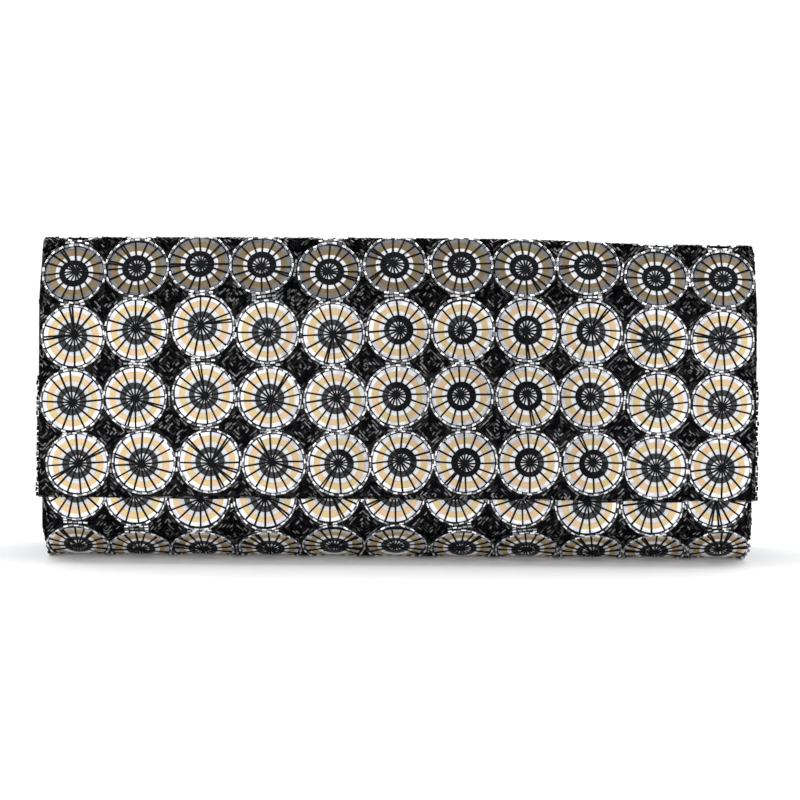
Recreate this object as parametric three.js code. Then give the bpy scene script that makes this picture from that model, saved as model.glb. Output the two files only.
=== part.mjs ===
// A long beaded evening clutch that stands on its base. Millimetres; X runs along the bag, Y from its
// front to its back and Z up. The origin is on the floor, at the middle of the footprint.
//
// One embroidered cloth wraps the bag: the flap's lower edge, its front, the shoulder, the top, and past
// the seam the back, the base and the front of the pocket up to its mouth. Medallions stand on that cloth
// in rows, and folded gussets close the pocket's two ends.
import * as THREE from "three";

// Driving sizes of the pocket and the flap, measured on the outer face of the cloth.
const pocketWidth = 298;
const flapOverhang = 1; // the flap beyond the pocket, at each end
const baseDepth = 52; // front to back, at the top of the base's corners
const baseFlat = 22; // the flat strip that the bag stands on
const cornerRise = 13.6; // height of the base's corners above that strip
const backLength = 114.5; // along the back, from the base's corner to the top
const backLean = 2.5; // degrees, towards the front
const frontLean = 6; // degrees, towards the back
const flapEdgeHeight = 26.6; // the flap's lower edge above the flat strip
const flapFrontLength = 83.2; // along the flap, from its lower edge to the shoulder
const shoulderLength = 27.6;
const shoulderLean = 29; // degrees, towards the back
const mouthBelowShoulder = 7;
const pocketWall = 2.6;
const flapWall = 2.4;
const swell = 1.5; // how far the stuffed faces stand out at the middle of the bag
const edgeSwell = 0.35; // the share of that swell along the top and the base's corners

// Radii of the bends.
const shoulderRadius = 14;
const topFrontRadius = 4.5;
const topBackRadius = 5;
const cornerRadius = 7;
const baseRadius = 5;
const bendStep = 20; // degrees of bend to a facet
const samePlace = 0.2; // two folds of the cloth that are closer than this are one

// Medallions.
const medallionRadius = 13.4;
const medallionRise = 1;
const medallionSides = 12;
const rowWave = 2.4; // the largest wander of a medallion along the cloth
const edgeMargin = 1.3; // cloth left below the flap's lowest row

// Fits.
const seat = 0.3; // the gap that is left between two pieces that touch
const flapClearance = 0.7; // between the flap and the medallions under it

// Gussets and snap.
const gussetWall = 1.6;
const gussetInset = 1.6; // from the ends of the pocket's cloth
const gussetFold = 9; // depth of the fold at the mouth
const gussetBelowMouth = 2;
const gussetAboveBase = 1.2; // where the rounded base is wide enough to take its lower edge
const gussetSteps = 8;
const gussetGrading = 1.4; // crowds its levels towards the base, where the cloth bends
const snapRadius = 8;
const snapHeight = 62; // above the flat strip
const snapSides = 24;

// How each column's medallions wander along the cloth, as shares of rowWave, from the left end.
const flapWander = [-1, -0.2, 0.5, -0.2, -0.4, 0.4, 0.6, 0.6, 0.5, -0.7, -1];
const pocketWander = [-0.9, -0.5, 0.3, 0.1, -0.5, -0.8, -0.4, 0.2, 1, 0.9, 0.5];
// How much of that wander each row has: the flap's from its lower edge, then the pocket's two faces. The
// cloth runs upwards on the pocket's front, and downwards on its back.
const flapRowShare = [0.45, 0.8, 1, 1, 0.8];
const frontRowShare = -1;
const backRowShare = -0.5;

const radians = THREE.MathUtils.degToRad;

// Profile of the cloth, in the Y-Z plane.

// A corner list as a path of points, each with its outward normal, the distance run and the swell's share.
// Outward is to the left of the way that the path runs.
function roundedPath(corners) {
  const points = [];
  const direction = (from, to) => new THREE.Vector2(to.y - from.y, to.z - from.z).normalize();
  const push = (y, z, normal) => points.push({ y, z, ny: normal.x, nz: normal.y });
  const leftOf = (way) => new THREE.Vector2(-way.y, way.x);
  const last = corners.length - 1;
  push(corners[0].y, corners[0].z, leftOf(direction(corners[0], corners[1])));
  for (let i = 1; i < last; i++) {
    const way = direction(corners[i - 1], corners[i]);
    const next = direction(corners[i], corners[i + 1]);
    const bend = Math.acos(THREE.MathUtils.clamp(way.dot(next), -1, 1));
    const radius = corners[i].radius;
    const tangent = radius * Math.tan(bend / 2);
    const normal = leftOf(way);
    const centreY = corners[i].y - way.x * tangent - normal.x * radius;
    const centreZ = corners[i].z - way.y * tangent - normal.y * radius;
    const steps = Math.max(1, Math.ceil(THREE.MathUtils.radToDeg(bend) / bendStep));
    for (let k = 0; k <= steps; k++) {
      const turned = normal.clone().rotateAround(new THREE.Vector2(), (-bend * k) / steps);
      push(centreY + turned.x * radius, centreZ + turned.y * radius, turned);
    }
  }
  const end = corners[last];
  push(end.y, end.z, leftOf(direction(corners[last - 1], end)));
  let run = 0;
  points.forEach((p, i) => {
    if (i > 0) run += Math.hypot(p.y - points[i - 1].y, p.z - points[i - 1].z);
    p.s = run;
    p.swell = swellShare(p.z);
  });
  return points;
}

// The point of a path at distance s, by straight interpolation.
function pointAt(path, s) {
  let i = 1;
  while (i < path.length - 1 && path[i].s < s) i++;
  const a = path[i - 1];
  const b = path[i];
  const t = (s - a.s) / (b.s - a.s);
  const mix = (key) => a[key] + (b[key] - a[key]) * t;
  return { s, y: mix("y"), z: mix("z"), ny: mix("ny"), nz: mix("nz"), swell: mix("swell") };
}

// The stretch of a path from one distance to another, with extra points at the cuts.
function stretch(path, from, to, cuts) {
  const kept = path.filter((p) => p.s > from + samePlace && p.s < to - samePlace);
  const extra = [from, ...cuts, to].filter(
    (s) => s >= from && s <= to && !kept.some((p) => Math.abs(p.s - s) < samePlace),
  );
  const added = extra.map((s) => {
    const p = pointAt(path, s);
    return { ...p, swell: swellShare(p.z) };
  });
  return [...kept, ...added].sort((a, b) => a.s - b.s);
}

// The distance run at which a path comes closest to a point.
function runNearest(path, y, z) {
  let best = { gap: Infinity, s: 0 };
  for (let i = 1; i < path.length; i++) {
    const a = path[i - 1];
    const b = path[i];
    const length = b.s - a.s;
    const along = ((y - a.y) * (b.y - a.y) + (z - a.z) * (b.z - a.z)) / length;
    const t = THREE.MathUtils.clamp(along / length, 0, 1);
    const gap = Math.hypot(a.y + (b.y - a.y) * t - y, a.z + (b.z - a.z) * t - z);
    if (gap < best.gap) best = { gap, s: a.s + length * t };
  }
  return best.s;
}

// How far the flap's outer face stands from the pocket's.
const standoff = seat + medallionRise + flapClearance;
const flapOffset = standoff + flapWall;

function wrapCorners() {
  const front = radians(frontLean);
  const back = radians(backLean);
  const shoulder = radians(shoulderLean);
  const cornerFront = { y: -baseDepth / 2, z: cornerRise, radius: cornerRadius };
  const cornerBack = { y: baseDepth / 2, z: cornerRise, radius: cornerRadius };
  const frontY = (z) => cornerFront.y + (z - cornerRise) * Math.tan(front);
  const flapEdge = { y: frontY(flapEdgeHeight) - flapOffset / Math.cos(front), z: flapEdgeHeight };
  const shoulderBend = {
    y: flapEdge.y + flapFrontLength * Math.sin(front),
    z: flapEdge.z + flapFrontLength * Math.cos(front),
    radius: shoulderRadius,
  };
  const topFront = {
    y: shoulderBend.y + shoulderLength * Math.sin(shoulder),
    z: shoulderBend.z + shoulderLength * Math.cos(shoulder),
    radius: topFrontRadius,
  };
  const topBack = {
    y: cornerBack.y - backLength * Math.sin(back),
    z: cornerBack.z + backLength * Math.cos(back),
    radius: topBackRadius,
  };
  const mouthZ = shoulderBend.z - mouthBelowShoulder;
  return {
    flapEdge,
    shoulderBend,
    topFront,
    topBack,
    cornerBack,
    baseBack: { y: baseFlat / 2, z: 0, radius: baseRadius },
    baseFront: { y: -baseFlat / 2, z: 0, radius: baseRadius },
    cornerFront,
    mouth: { y: frontY(mouthZ), z: mouthZ },
  };
}

const corner = wrapCorners();

// The share of the swell at a height: none on the base, most at the middle of the faces.
function swellShare(z) {
  if (z < cornerRise) return (edgeSwell * Math.max(0, z)) / cornerRise;
  if (z > corner.shoulderBend.z) return edgeSwell;
  const up = (z - cornerRise) / (corner.shoulderBend.z - cornerRise);
  return edgeSwell + (1 - edgeSwell) * Math.sin(Math.PI * up);
}

const wrap = roundedPath(Object.values(corner));

// Rows and columns of medallions.

const medallionSize = 2 * medallionRadius;
const columns = Math.round(pocketWidth / medallionSize);
const columnPitch = pocketWidth / columns;
const columnX = (c) => (c - (columns - 1) / 2) * columnPitch;
const countIn = (length) => Math.max(1, Math.round(length / medallionSize));
const cornerRun = Object.fromEntries(
  Object.entries(corner).map(([name, c]) => [name, runNearest(wrap, c.y, c.z)]),
);

// Evenly spaced rows between two distances run along the cloth.
function rowsBetween(from, to) {
  const count = countIn(to - from);
  const pitch = (to - from) / count;
  return Array.from({ length: count }, (_, k) => from + (k + 0.5) * pitch);
}

// The seam stands where the back's straight cloth ends, below the bend at the top.
const topBend = Math.PI / 2 - radians(backLean);
const seamRun = cornerRun.topBack + topBackRadius * Math.tan(topBend / 2);
const rowPitch = (cornerRun.cornerBack - seamRun) / countIn(cornerRun.cornerBack - seamRun);
const flapRows = [
  ...rowsBetween(cornerRun.flapEdge + edgeMargin, cornerRun.shoulderBend),
  ...rowsBetween(cornerRun.shoulderBend, cornerRun.topFront),
  ...rowsBetween(cornerRun.topFront, cornerRun.topBack),
];
const backRows = [
  ...rowsBetween(seamRun, cornerRun.cornerBack),
  cornerRun.cornerBack + rowPitch / 2,
];
const shownFront = Math.ceil((flapEdgeHeight - cornerRise) / rowPitch);
const frontRows = [
  cornerRun.cornerFront - rowPitch / 2,
  ...Array.from({ length: shownFront }, (_, k) => cornerRun.cornerFront + (k + 0.5) * rowPitch),
];

// The value of a hand-chosen table at a column, whatever the number of columns.
function tableAt(table, c) {
  const at = columns > 1 ? (c / (columns - 1)) * (table.length - 1) : 0;
  const low = Math.min(Math.floor(at), table.length - 2);
  return table[low] + (table[low + 1] - table[low]) * (at - low);
}

function centres(rows, wander, share) {
  return rows.map((s, r) =>
    Array.from({ length: columns }, (_, c) => ({
      x: columnX(c),
      s: s + rowWave * share(r) * tableAt(wander, c),
    })),
  );
}

const lastShare = flapRowShare.length - 1;
const flapCentres = centres(flapRows, flapWander, (r) => flapRowShare[Math.min(r, lastShare)]);
const frontCentres = centres(frontRows, pocketWander, () => frontRowShare);
const backCentres = centres(backRows, flapWander, () => backRowShare);

// The cloth as a surface: a place along the bag, a distance run and a height over the outer face.

function skinOf(path, halfWidth) {
  const between = Array.from({ length: columns - 1 }, (_, c) => columnX(c + 0.5));
  const stations = [-halfWidth, ...between, halfWidth];
  const bow = (x) => Math.max(0, 1 - (x / halfWidth) ** 2);
  const bowAt = (x) => {
    let i = 1;
    while (i < stations.length - 1 && stations[i] < x) i++;
    const t = (x - stations[i - 1]) / (stations[i] - stations[i - 1]);
    return bow(stations[i - 1]) + (bow(stations[i]) - bow(stations[i - 1])) * t;
  };
  const at = (x, s, height) => {
    const p = pointAt(path, s);
    const out = height + swell * p.swell * bowAt(x);
    return new THREE.Vector3(x, p.y + p.ny * out, p.z + p.nz * out);
  };
  return { path, stations, at };
}

const flapStretch = stretch(
  wrap,
  cornerRun.flapEdge,
  seamRun,
  flapRows.slice(1).map((s, k) => (s + flapRows[k]) / 2),
);
const pocketStretch = stretch(
  wrap,
  seamRun + seat,
  cornerRun.mouth,
  [
    ...backRows.slice(1).map((s, k) => (s + backRows[k]) / 2),
    ...rowsBetween(cornerRun.cornerFront, cornerRun.mouth).map((s) => s + rowPitch / 2),
  ],
);
const flapSkin = skinOf(flapStretch, pocketWidth / 2 + flapOverhang);
const pocketSkin = skinOf(pocketStretch, pocketWidth / 2);

// Solids.

function geometryOf(points, triangles) {
  const geometry = new THREE.BufferGeometry();
  geometry.setAttribute("position", new THREE.Float32BufferAttribute(points.flatMap((p) => p.toArray()), 3));
  geometry.setIndex(triangles);
  geometry.computeVertexNormals();
  return geometry;
}

// A wall between two grids of points, closed round its four edges. The outer grid's rows and columns
// turn counter-clockwise seen from outside.
function wallGeometry(outer, inner) {
  const across = outer.length;
  const along = outer[0].length;
  const points = [...outer.flat(), ...inner.flat()];
  const out = (i, j) => i * along + j;
  const into = (i, j) => across * along + i * along + j;
  const triangles = [];
  const quad = (a, b, c, d) => triangles.push(a, b, c, a, c, d);
  for (let i = 0; i < across - 1; i++) {
    for (let j = 0; j < along - 1; j++) {
      quad(out(i, j), out(i + 1, j), out(i + 1, j + 1), out(i, j + 1));
      quad(into(i, j), into(i, j + 1), into(i + 1, j + 1), into(i + 1, j));
    }
    quad(into(i, 0), into(i + 1, 0), out(i + 1, 0), out(i, 0));
    quad(out(i, along - 1), out(i + 1, along - 1), into(i + 1, along - 1), into(i, along - 1));
  }
  for (let j = 0; j < along - 1; j++) {
    quad(out(0, j), out(0, j + 1), into(0, j + 1), into(0, j));
    quad(into(across - 1, j), into(across - 1, j + 1), out(across - 1, j + 1), out(across - 1, j));
  }
  return geometryOf(points, triangles);
}

function panelGeometry(skin, thickness) {
  const grid = (height) => skin.stations.map((x) => skin.path.map((p) => skin.at(x, p.s, height)));
  return wallGeometry(grid(0), grid(-thickness));
}

// A medallion's outline on the flat cloth, drawn to a shared edge with each neighbour that it meets.
function outlineOf(rows, r, c) {
  const turn = (2 * Math.PI) / medallionSides;
  const vertex = (centre, k) => {
    const angle = (k + 0.5) * turn;
    const reach = { x: medallionRadius * Math.cos(angle), s: medallionRadius * Math.sin(angle) };
    return { x: centre.x + reach.x, s: centre.s + reach.s };
  };
  const quarter = medallionSides / 4;
  const neighbours = [rows[r]?.[c + 1], rows[r + 1]?.[c], rows[r]?.[c - 1], rows[r - 1]?.[c]];
  return Array.from({ length: medallionSides }, (_, k) => {
    const own = vertex(rows[r][c], k);
    const side = Math.floor((k + 1) / quarter) % 4;
    const step = (k + 1) % quarter; // 0 and 1 are the two ends of the edge that faces a neighbour
    const other = neighbours[side];
    if (!other || step > 1) return own;
    const facing = ((side + 2) * quarter - step + medallionSides) % medallionSides;
    const met = vertex(other, facing);
    return { x: (own.x + met.x) / 2, s: (own.s + met.s) / 2 };
  });
}

// A convex outline cut along the cloth at each fold that crosses it.
function cutAtFolds(outline, path) {
  const keep = (polygon, inside, limit) =>
    polygon.flatMap((a, i) => {
      const b = polygon[(i + 1) % polygon.length];
      const kept = inside(a.s) ? [a] : [];
      if (inside(a.s) !== inside(b.s)) {
        const [p, q] = a.s < b.s ? [a, b] : [b, a];
        kept.push({ x: p.x + ((q.x - p.x) * (limit - p.s)) / (q.s - p.s), s: limit });
      }
      return kept;
    });
  const low = Math.min(...outline.map((p) => p.s));
  const high = Math.max(...outline.map((p) => p.s));
  const folds = path.map((p) => p.s).filter((s) => s > low + samePlace && s < high - samePlace);
  const pieces = [];
  let rest = outline;
  for (const fold of folds) {
    pieces.push(keep(rest, (s) => s <= fold, fold));
    rest = keep(rest, (s) => s > fold, fold);
  }
  return [...pieces, rest];
}

// All the medallions of one cloth as one body.
function fieldGeometry(skin, rows) {
  const grain = 1e-3; // corners closer than this are one
  const flat = [];
  const known = new Map();
  const idOf = (p) => {
    const key = Math.round(p.x / grain) + "," + Math.round(p.s / grain);
    if (!known.has(key)) {
      known.set(key, flat.length);
      flat.push(p);
    }
    return known.get(key);
  };
  const polygons = rows
    .flatMap((row, r) => row.flatMap((_, c) => cutAtFolds(outlineOf(rows, r, c), skin.path)))
    .map((polygon) => polygon.map(idOf));
  const low = flat.map((p) => skin.at(p.x, p.s, seat));
  const high = flat.map((p) => skin.at(p.x, p.s, seat + medallionRise));
  const top = (id) => id + flat.length;
  const edge = (a, b) => a + ">" + b;
  const edges = new Set(polygons.flatMap((ids) => ids.map((id, i) => edge(id, ids[(i + 1) % ids.length]))));
  const triangles = [];
  for (const ids of polygons) {
    for (let i = 1; i < ids.length - 1; i++) {
      triangles.push(top(ids[0]), top(ids[i]), top(ids[i + 1]), ids[0], ids[i + 1], ids[i]);
    }
    ids.forEach((a, i) => {
      const b = ids[(i + 1) % ids.length];
      if (!edges.has(edge(b, a))) triangles.push(a, b, top(b), a, top(b), top(a));
    });
  }
  return geometryOf([...low, ...high], triangles);
}

// A gusset closes one end of the pocket and folds inwards, more towards the mouth.
function gussetGeometry(end) {
  const inset = pocketWall + seat;
  const inner = pocketStretch.map((p) => ({ y: p.y - p.ny * inset, z: p.z - p.nz * inset }));
  const base = Math.min(...inner.map((p) => p.z));
  const top = corner.mouth.z - gussetBelowMouth;
  const yAt = (z, side) => {
    const crossings = inner.slice(1).flatMap((b, i) => {
      const a = inner[i];
      const crosses = (a.z - z) * (b.z - z) <= 0 && a.z !== b.z;
      return crosses ? [a.y + ((b.y - a.y) * (z - a.z)) / (b.z - a.z)] : [];
    });
    return side < 0 ? Math.min(...crossings) : Math.max(...crossings);
  };
  const bottom = base + gussetAboveBase;
  const levels = Array.from(
    { length: gussetSteps + 1 },
    (_, k) => bottom + (top - bottom) * (k / gussetSteps) ** gussetGrading,
  );
  const face = pocketWidth / 2 - gussetInset;
  const grid = (depth) =>
    Array.from({ length: gussetSteps + 1 }, (_, i) => {
      const t = i / gussetSteps;
      return levels.map((z) => {
        const y = THREE.MathUtils.lerp(yAt(z, -1), yAt(z, 1), t);
        const fold = gussetFold * ((z - base) / (top - base)) * Math.sin(Math.PI * t) ** 2;
        return new THREE.Vector3(end * (face - depth - fold), y, z);
      });
    });
  return end > 0 ? wallGeometry(grid(0), grid(gussetWall)) : wallGeometry(grid(gussetWall), grid(0));
}

// Assembly.

const blackCloth = new THREE.MeshStandardMaterial({ color: 0x0c0c0f, roughness: 0.75, metalness: 0 });
const satin = new THREE.MeshStandardMaterial({ color: 0x121216, roughness: 0.5, metalness: 0 });
const gold = new THREE.MeshStandardMaterial({ color: 0xd8bd92, roughness: 0.25, metalness: 0.8 });
const steel = new THREE.MeshStandardMaterial({ color: 0xb8b8bc, roughness: 0.3, metalness: 1 });

function piece(name, geometry, material) {
  const mesh = new THREE.Mesh(geometry, material);
  mesh.name = name;
  return mesh;
}

// The snap's two halves, closed and hidden, as one plain disc between the pocket and the flap.
function snapPiece() {
  const thickness = standoff - 2 * seat;
  const geometry = new THREE.CylinderGeometry(snapRadius, snapRadius, thickness, snapSides);
  const snap = piece("magnetic_snap", geometry, steel);
  const front = radians(frontLean);
  const y = corner.cornerFront.y + (snapHeight - cornerRise) * Math.tan(front);
  const run = runNearest(pocketStretch, y, snapHeight);
  snap.position.copy(pocketSkin.at(0, run, standoff / 2));
  snap.rotation.x = -front;
  return snap;
}

const bag = new THREE.Group();
bag.add(
  piece("pocket_panel", panelGeometry(pocketSkin, pocketWall), blackCloth),
  piece("flap_panel", panelGeometry(flapSkin, flapWall), blackCloth),
  piece("left_gusset", gussetGeometry(-1), satin),
  piece("right_gusset", gussetGeometry(1), satin),
  piece("flap_medallions", fieldGeometry(flapSkin, flapCentres), gold),
  piece("front_medallions", fieldGeometry(pocketSkin, frontCentres), gold),
  piece("back_medallions", fieldGeometry(pocketSkin, backCentres), gold),
  snapPiece(),
);

// The bag stands on the floor, centred on its own footprint.
const box = new THREE.Box3().setFromObject(bag, true);
const middle = box.getCenter(new THREE.Vector3());
bag.position.set(-middle.x, -middle.y, -box.min.z);

export default bag;
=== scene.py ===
"""A long beaded evening clutch that stands on its base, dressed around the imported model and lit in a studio.

Shapes are worked out in millimetres on the bag's one embroidered cloth, which runs from the flap's lower
edge over the shoulder and the top, down the back, under the base and up the pocket's front to its mouth.
A place on it is x along the bag, s the distance run from the flap's edge, and h the height over its face.
"""

import math

import bpy
import numpy as np
from mathutils import Euler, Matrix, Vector


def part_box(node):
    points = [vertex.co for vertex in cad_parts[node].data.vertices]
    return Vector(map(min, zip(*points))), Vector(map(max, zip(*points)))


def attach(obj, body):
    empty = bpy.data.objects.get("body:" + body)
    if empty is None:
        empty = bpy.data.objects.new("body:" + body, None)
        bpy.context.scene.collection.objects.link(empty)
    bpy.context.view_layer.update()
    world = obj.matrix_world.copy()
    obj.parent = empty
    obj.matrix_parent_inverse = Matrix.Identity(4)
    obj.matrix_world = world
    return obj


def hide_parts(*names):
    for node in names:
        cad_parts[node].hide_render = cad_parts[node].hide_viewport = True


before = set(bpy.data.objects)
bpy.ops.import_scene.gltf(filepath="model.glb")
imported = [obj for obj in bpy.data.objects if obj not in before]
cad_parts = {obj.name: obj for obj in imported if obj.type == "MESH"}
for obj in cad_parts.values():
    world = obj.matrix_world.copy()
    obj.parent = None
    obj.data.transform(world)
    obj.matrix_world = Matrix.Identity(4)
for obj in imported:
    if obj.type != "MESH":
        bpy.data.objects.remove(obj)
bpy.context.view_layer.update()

MM = 0.001
BODY = "root"
random = np.random.default_rng(7)


def cad(node, end, axis):
    """A side of a CAD node's box, in millimetres; end 0 is the low side and 1 the high one."""
    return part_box(node)[end][axis] / MM


# Sizes of the cloth, the same as the frame's

POCKET_HALF = cad("pocket_panel", 1, 0)
FLAP_HALF = cad("flap_panel", 1, 0)
BASE_HALF_DEPTH = 26.0
BASE_HALF_FLAT = 11.0
CORNER_RISE = 13.6
BACK_LENGTH = 114.5
BACK_LEAN = math.radians(2.5)
FRONT_LEAN = math.radians(6)
FLAP_EDGE_HEIGHT = 26.6
FLAP_FRONT_LENGTH = 83.2
SHOULDER_LENGTH = 27.6
SHOULDER_LEAN = math.radians(29)
MOUTH_BELOW_SHOULDER = 7.0
SHOULDER_RADIUS = 14.0
TOP_FRONT_RADIUS = 4.5
TOP_BACK_RADIUS = 5.0
CORNER_RADIUS = 7.0
BASE_RADIUS = 5.0
POCKET_WALL = 2.6
FLAP_WALL = 2.4
FLAP_STANDOFF = 2.0  # from the pocket's front to the flap's inner face
SWELL = 1.5
EDGE_SWELL = 0.35
SEAM_GAP = 0.3
SAG = 1.2  # the top drops by about this much towards the right end
SAG_START = 40.0
SAG_STOP = 115.0
SAG_CEILING = 1.2  # in shoulder heights; above this the sag grows no further
BEND_STEP = math.radians(3)
POINT_SPACING = 1.5

# Sequins, beads and threads

COLUMNS = 11
RING_RADIUS = 13.0  # of the ring of silver beads, at the middle of the bead
RING_BEADS = 38  # an even number, as beads painted bright as if glinting and dim as if unlit take turns
BEAD_RADIUS = 0.5
BEAD_LENGTH = 1.8
BEAD_SIDES = 8
BUGLE_RADIUS = 0.5
BUGLE_LENGTH = 2.0
BUGLE_ROW = 1.16  # from one row of black bugles to the next
BUGLE_STEP = 2.2
BUGLE_SIDES = 6
BUGLES_MISSING = 0.05
BED = 0.3  # the silver beads lie this high over the cloth
CLEAR_OF_RING = RING_RADIUS + BEAD_RADIUS + 0.25
EDGE_MARGIN = 1.3

# Name, inner and outer radius, underside and top over the cloth, and segments round, from the lowest up
SEQUINS = [
    ("silver", 9.5, 12.25, 0.45, 0.55, 56),
    ("gold", 7.2, 10.7, 0.55, 0.65, 48),
    ("white", 5.3, 7.95, 0.65, 0.75, 40),
    ("black", 3.0, 6.15, 0.75, 0.86, 36),
    ("pearl", 0.5, 3.6, 0.86, 0.95, 24),
]


# The cloth


def corners():
    """The corners of the cloth in the Y-Z plane, each with its radius, from the flap's edge to the mouth."""
    offset = (FLAP_STANDOFF + FLAP_WALL) / math.cos(FRONT_LEAN)

    def front_y(z):
        return -BASE_HALF_DEPTH + (z - CORNER_RISE) * math.tan(FRONT_LEAN)

    def beyond(point, length, lean):
        return np.array([point[0] + length * math.sin(lean), point[1] + length * math.cos(lean)])

    edge = np.array([front_y(FLAP_EDGE_HEIGHT) - offset, FLAP_EDGE_HEIGHT])
    shoulder = beyond(edge, FLAP_FRONT_LENGTH, FRONT_LEAN)
    top_front = beyond(shoulder, SHOULDER_LENGTH, SHOULDER_LEAN)
    top_back = beyond((BASE_HALF_DEPTH, CORNER_RISE), BACK_LENGTH, -BACK_LEAN)
    mouth = shoulder[1] - MOUTH_BELOW_SHOULDER
    return {
        "edge": (edge, 0),
        "shoulder": (shoulder, SHOULDER_RADIUS),
        "top_front": (top_front, TOP_FRONT_RADIUS),
        "top_back": (top_back, TOP_BACK_RADIUS),
        "corner_back": (np.array([BASE_HALF_DEPTH, CORNER_RISE]), CORNER_RADIUS),
        "base_back": (np.array([BASE_HALF_FLAT, 0]), BASE_RADIUS),
        "base_front": (np.array([-BASE_HALF_FLAT, 0]), BASE_RADIUS),
        "corner_front": (np.array([-BASE_HALF_DEPTH, CORNER_RISE]), CORNER_RADIUS),
        "mouth": (np.array([front_y(mouth), mouth]), 0),
    }


def swell_share(z, shoulder_z):
    """How far the padding swells the cloth at a height, as a share of the most."""
    up = np.clip((z - CORNER_RISE) / (shoulder_z - CORNER_RISE), 0, 1)
    face = EDGE_SWELL + (1 - EDGE_SWELL) * np.sin(np.pi * up)
    return np.where(z < CORNER_RISE, EDGE_SWELL * np.clip(z, 0, None) / CORNER_RISE, face)


class Cloth:
    """The path of the cloth: its place, outward normal and swell at each run, and where its corners lie."""

    def __init__(self):
        named = corners()
        spots = [spot for spot, _ in named.values()]
        bends = list(named.values())[1:-1]
        rows = [self.row(spots[0], self.left(spots[0], spots[1]))]
        for (spot, radius), before, after in zip(bends, spots, spots[2:]):
            rows += self.arc(spot, radius, before, after)
        rows.append(self.row(spots[-1], self.left(spots[-2], spots[-1])))
        table = np.array(rows)
        points = table[:, :2]
        steps = np.linalg.norm(np.diff(points, axis=0), axis=1)
        run = np.concatenate([[0], np.cumsum(steps)])
        self.at = {}
        for name, (spot, _) in named.items():
            nearest = np.argmin(np.linalg.norm(points - spot, axis=1))
            self.at[name] = run[nearest]
        # More points between the corners let the swell bend the straight stretches evenly.
        self.run = np.unique(np.concatenate([run, np.arange(0, run[-1], POINT_SPACING)]))
        self.y, self.z, self.ny, self.nz = (np.interp(self.run, run, column) for column in table.T)
        self.swell = swell_share(self.z, named["shoulder"][0][1])

    @staticmethod
    def left(start, end):
        way = (end - start) / np.linalg.norm(end - start)
        return np.array([-way[1], way[0]])

    @staticmethod
    def row(spot, normal):
        return [*spot, *normal]

    def arc(self, spot, radius, before, after):
        first, last = self.left(before, spot), self.left(spot, after)
        bend = math.acos(np.clip(first @ last, -1, 1))
        tangent = radius * math.tan(bend / 2)
        way = (spot - before) / np.linalg.norm(spot - before)
        centre = spot - way * tangent - first * radius
        steps = max(2, math.ceil(bend / BEND_STEP))
        rows = []
        for k in range(steps + 1):
            turn = -bend * k / steps
            normal = np.array(
                [
                    first[0] * math.cos(turn) - first[1] * math.sin(turn),
                    first[0] * math.sin(turn) + first[1] * math.cos(turn),
                ]
            )
            rows.append(self.row(centre + normal * radius, normal))
        return rows


cloth = Cloth()
SHOULDER_Z = corners()["shoulder"][0][1]
SHIFT_Z = cad("pocket_panel", 0, 2)
flap_stretch = cloth.run < cloth.at["top_back"]
SHIFT_Y = cad("flap_panel", 0, 1) - np.min((cloth.y + cloth.ny * SWELL * cloth.swell)[flap_stretch])


def place(x, s, h=0.0, half=POCKET_HALF):
    """Points in the row frame, in millimetres. Past either end of the cloth the last stretch runs on."""
    x, s, h = np.broadcast_arrays(np.asarray(x, float), np.asarray(s, float), np.asarray(h, float))
    y, z, ny, nz, swell = (
        np.interp(s, cloth.run, column) for column in (cloth.y, cloth.z, cloth.ny, cloth.nz, cloth.swell)
    )
    past = s - np.clip(s, 0, cloth.run[-1])
    out = h + SWELL * swell * np.clip(1 - (x / half) ** 2, 0, None)
    height = z - ny * past + nz * out
    toward = np.clip((x - SAG_START) / (SAG_STOP - SAG_START), 0, 1)
    sag = SAG * toward**2 * (3 - 2 * toward) * np.clip(height / SHOULDER_Z, 0, SAG_CEILING) ** 2
    return np.stack([x, y + nz * past + ny * out + SHIFT_Y, height - sag + SHIFT_Z], axis=-1)


SMALL_STEP = 0.01


def place_flat(x, s, h, s_middle, bends):
    """Points of a flat sequin: straight out from its middle, but along the cloth on the side that bends.

    bends is -1 where it follows the cloth at smaller runs, 1 at larger ones and 0 where it is flat all over.
    """
    x, s, h, s_middle, bends = np.broadcast_arrays(x, s, h, s_middle, bends)
    beyond = s - s_middle
    level = np.where(beyond * bends > 0, beyond, 0)
    ahead = place(x, s_middle + level + SMALL_STEP, h)
    here = place(x, s_middle + level - SMALL_STEP, h)
    slope = (ahead - here) / (2 * SMALL_STEP)
    return (ahead + here) / 2 + slope * (beyond - level)[..., None]


def unit(vectors):
    return vectors / np.linalg.norm(vectors, axis=-1, keepdims=True)


def out_of_cloth(x, s):
    """The way straight out of the cloth at a place."""
    return unit(place(x, s, 1.0) - place(x, s, 0.0))


# Rows of medallions

FLAP_FRONT_ROWS = 3
BACK_ROWS = 4
PITCH = 2 * POCKET_HALF / COLUMNS
column_x = (np.arange(COLUMNS) - (COLUMNS - 1) / 2) * PITCH
# The flap is sewn to the pocket a tangent's length past the middle of the top's back bend.
seam = cloth.at["top_back"] + TOP_BACK_RADIUS * math.tan((math.pi / 2 - BACK_LEAN) / 2)
pocket_top = seam + SEAM_GAP
base_middle = (cloth.at["base_back"] + cloth.at["base_front"]) / 2
back_pitch = (cloth.at["corner_back"] - seam) / BACK_ROWS
front_pitch = (cloth.at["shoulder"] - EDGE_MARGIN) / FLAP_FRONT_ROWS

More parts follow.
